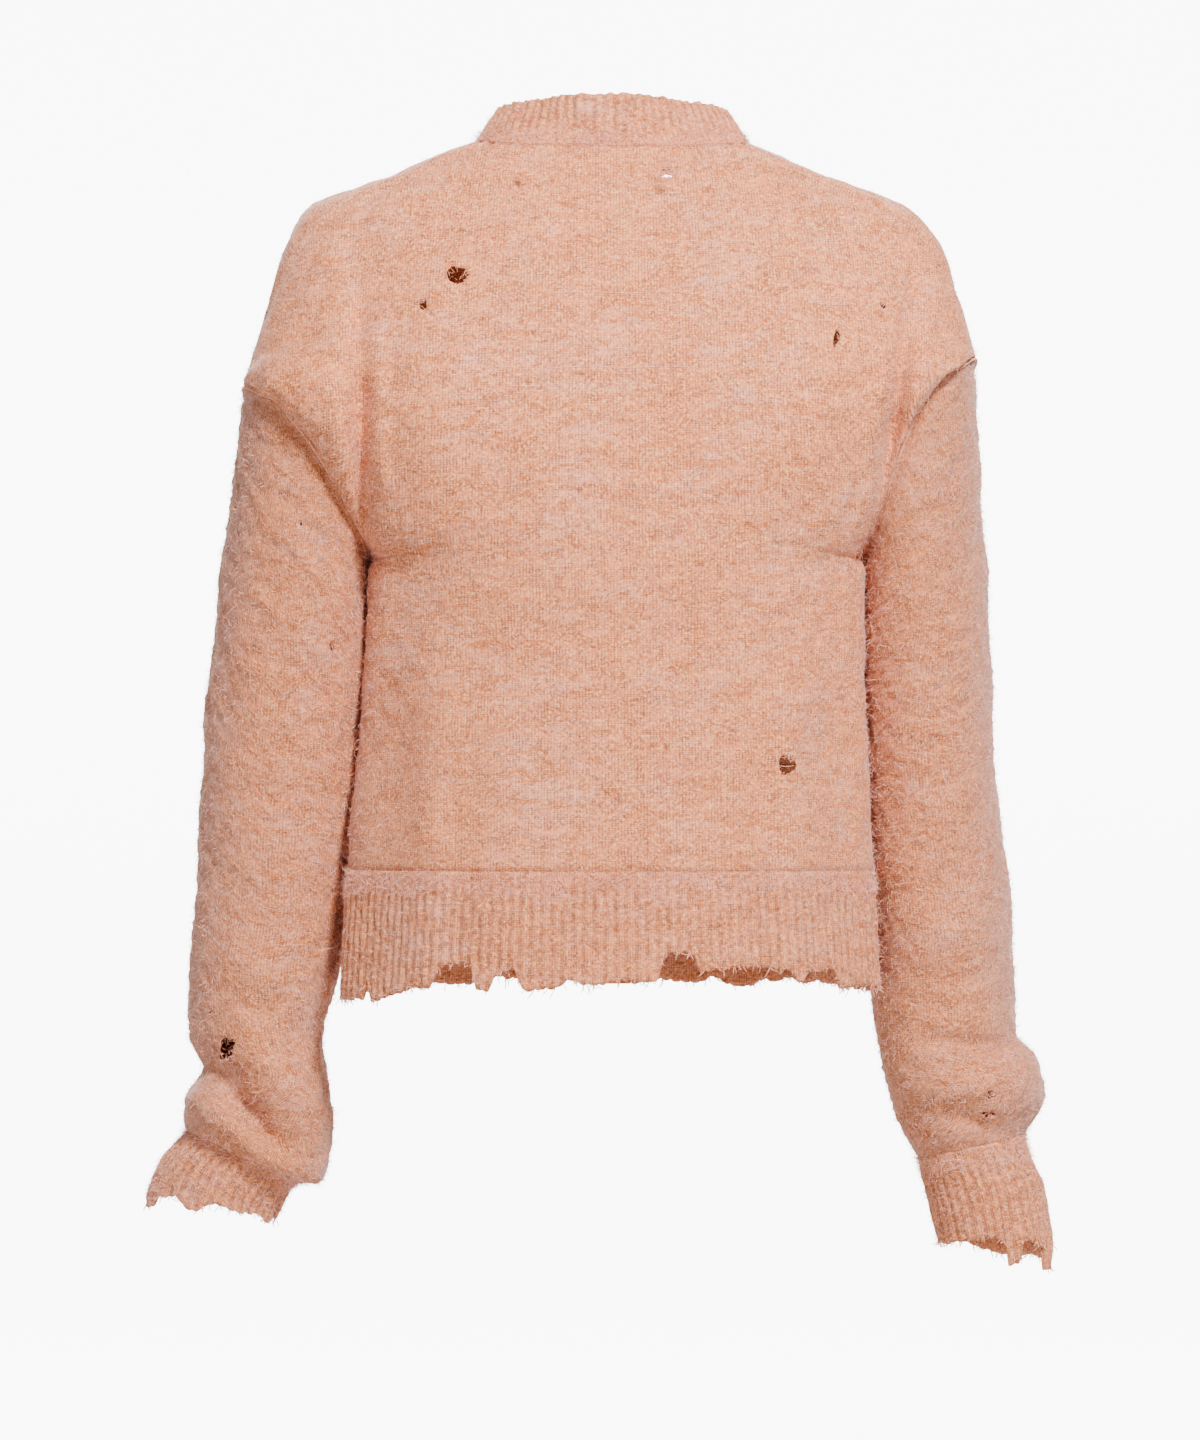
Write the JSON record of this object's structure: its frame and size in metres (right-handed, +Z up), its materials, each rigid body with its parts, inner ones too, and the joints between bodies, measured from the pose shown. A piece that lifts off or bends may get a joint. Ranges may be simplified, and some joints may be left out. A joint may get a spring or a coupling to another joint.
{
  "type": "mohair cardigan",
  "caption": "Ribbed mohair cardigan with drop shoulders, worn holes and a torn hem, buttoned and held in its worn, hollow form with open neck, hem and cuffs.",
  "frame": {"origin": "middle of the neck opening, at the height where the shoulders meet the neck, where a wearer holds the cardigan", "axes": "+Z up along the wearer's spine, -Y out of the buttoned front, +X to the wearer's left"},
  "size_m": [0.5672, 0.2733, 0.7279],
  "materials": {
    "mohair": "brushed stocking stitch in dusty salmon",
    "mohair_rib": "brushed rib in dusty salmon",
    "button_horn": "plain brown, satin"
  },
  "bodies": {
    "root": {"back": "mohair", "left_front": "mohair", "right_front": "mohair", "left_sleeve_behind": "mohair", "left_sleeve_before": "mohair", "right_sleeve_behind": "mohair", "right_sleeve_before": "mohair", "left_cuff": "mohair_rib", "right_cuff": "mohair_rib", "back_hem_rib": "mohair_rib", "left_front_hem_rib": "mohair_rib", "right_front_hem_rib": "mohair_rib", "neckband": "mohair_rib", "left_button_band": "mohair_rib", "right_button_band": "mohair_rib", "button_1": "button_horn", "button_2": "button_horn", "button_3": "button_horn", "button_4": "button_horn", "button_5": "button_horn", "button_6": "button_horn"}
  },
  "joints": []
}
